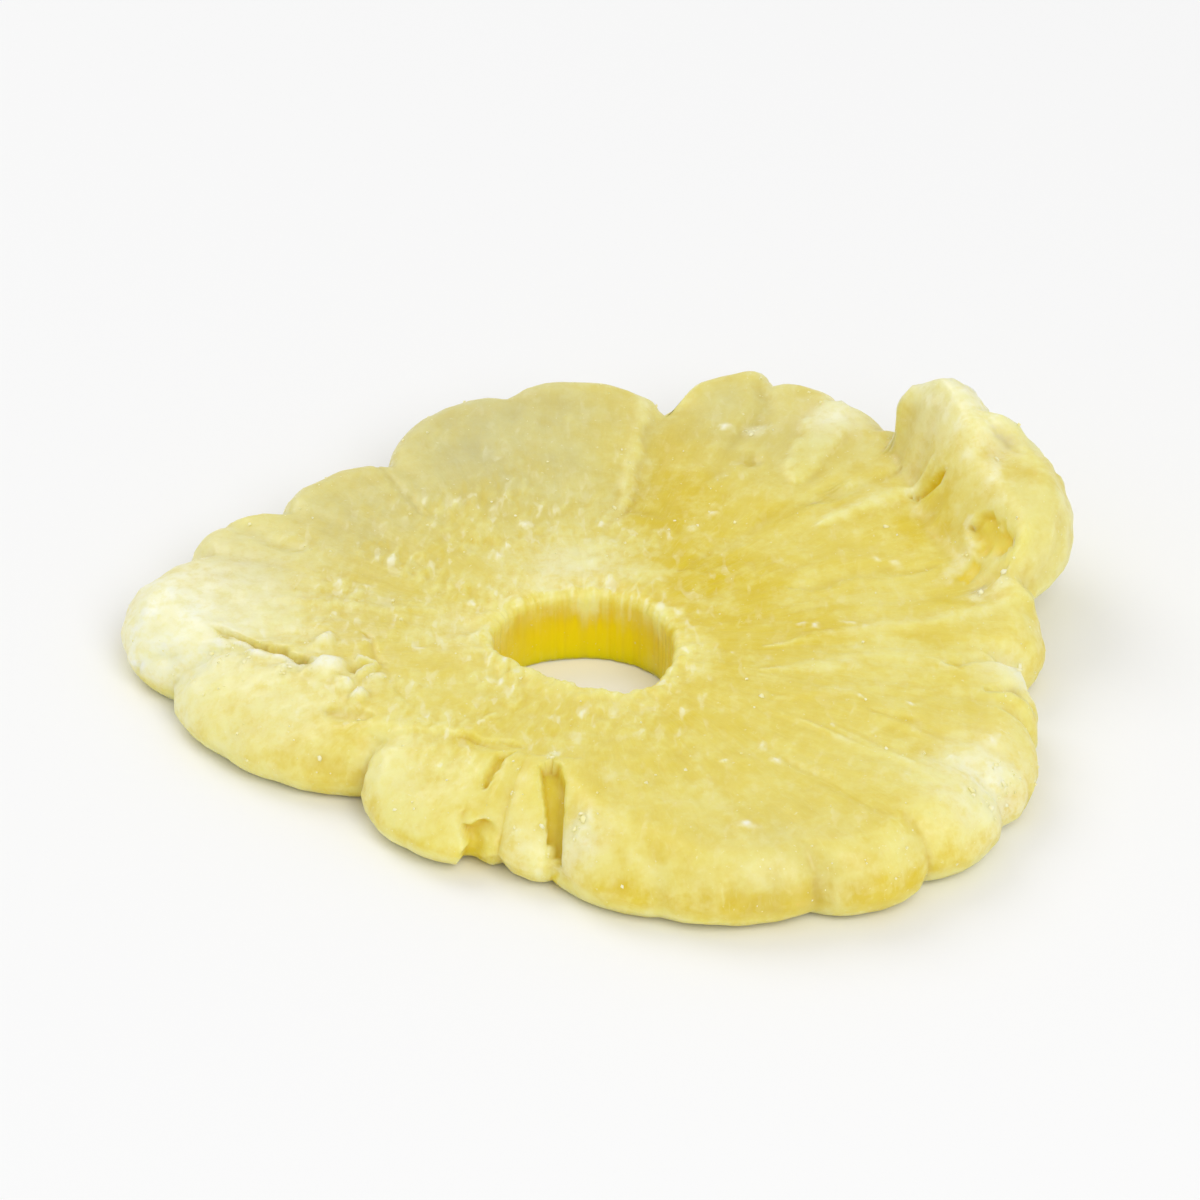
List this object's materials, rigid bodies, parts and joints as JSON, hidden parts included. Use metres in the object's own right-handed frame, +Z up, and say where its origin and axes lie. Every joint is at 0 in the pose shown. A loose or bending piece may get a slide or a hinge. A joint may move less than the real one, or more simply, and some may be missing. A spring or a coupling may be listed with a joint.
{
  "type": "candied pineapple ring",
  "caption": "Flat slice of candied pineapple with a cored, slightly uneven hole, a lobed rim and a curled-up flap at the back edge.",
  "frame": {"origin": "middle of the bounding box, on the surface the ring lies on", "axes": "+Z up through the slice's thickness; -Y towards the low, sloping side that faces the viewer, so the curled flap is at +X +Y"},
  "size_m": [0.0842, 0.0788, 0.0164],
  "materials": {
    "flesh": "satin"
  },
  "bodies": {
    "root": {"ring": "flesh"}
  },
  "joints": []
}
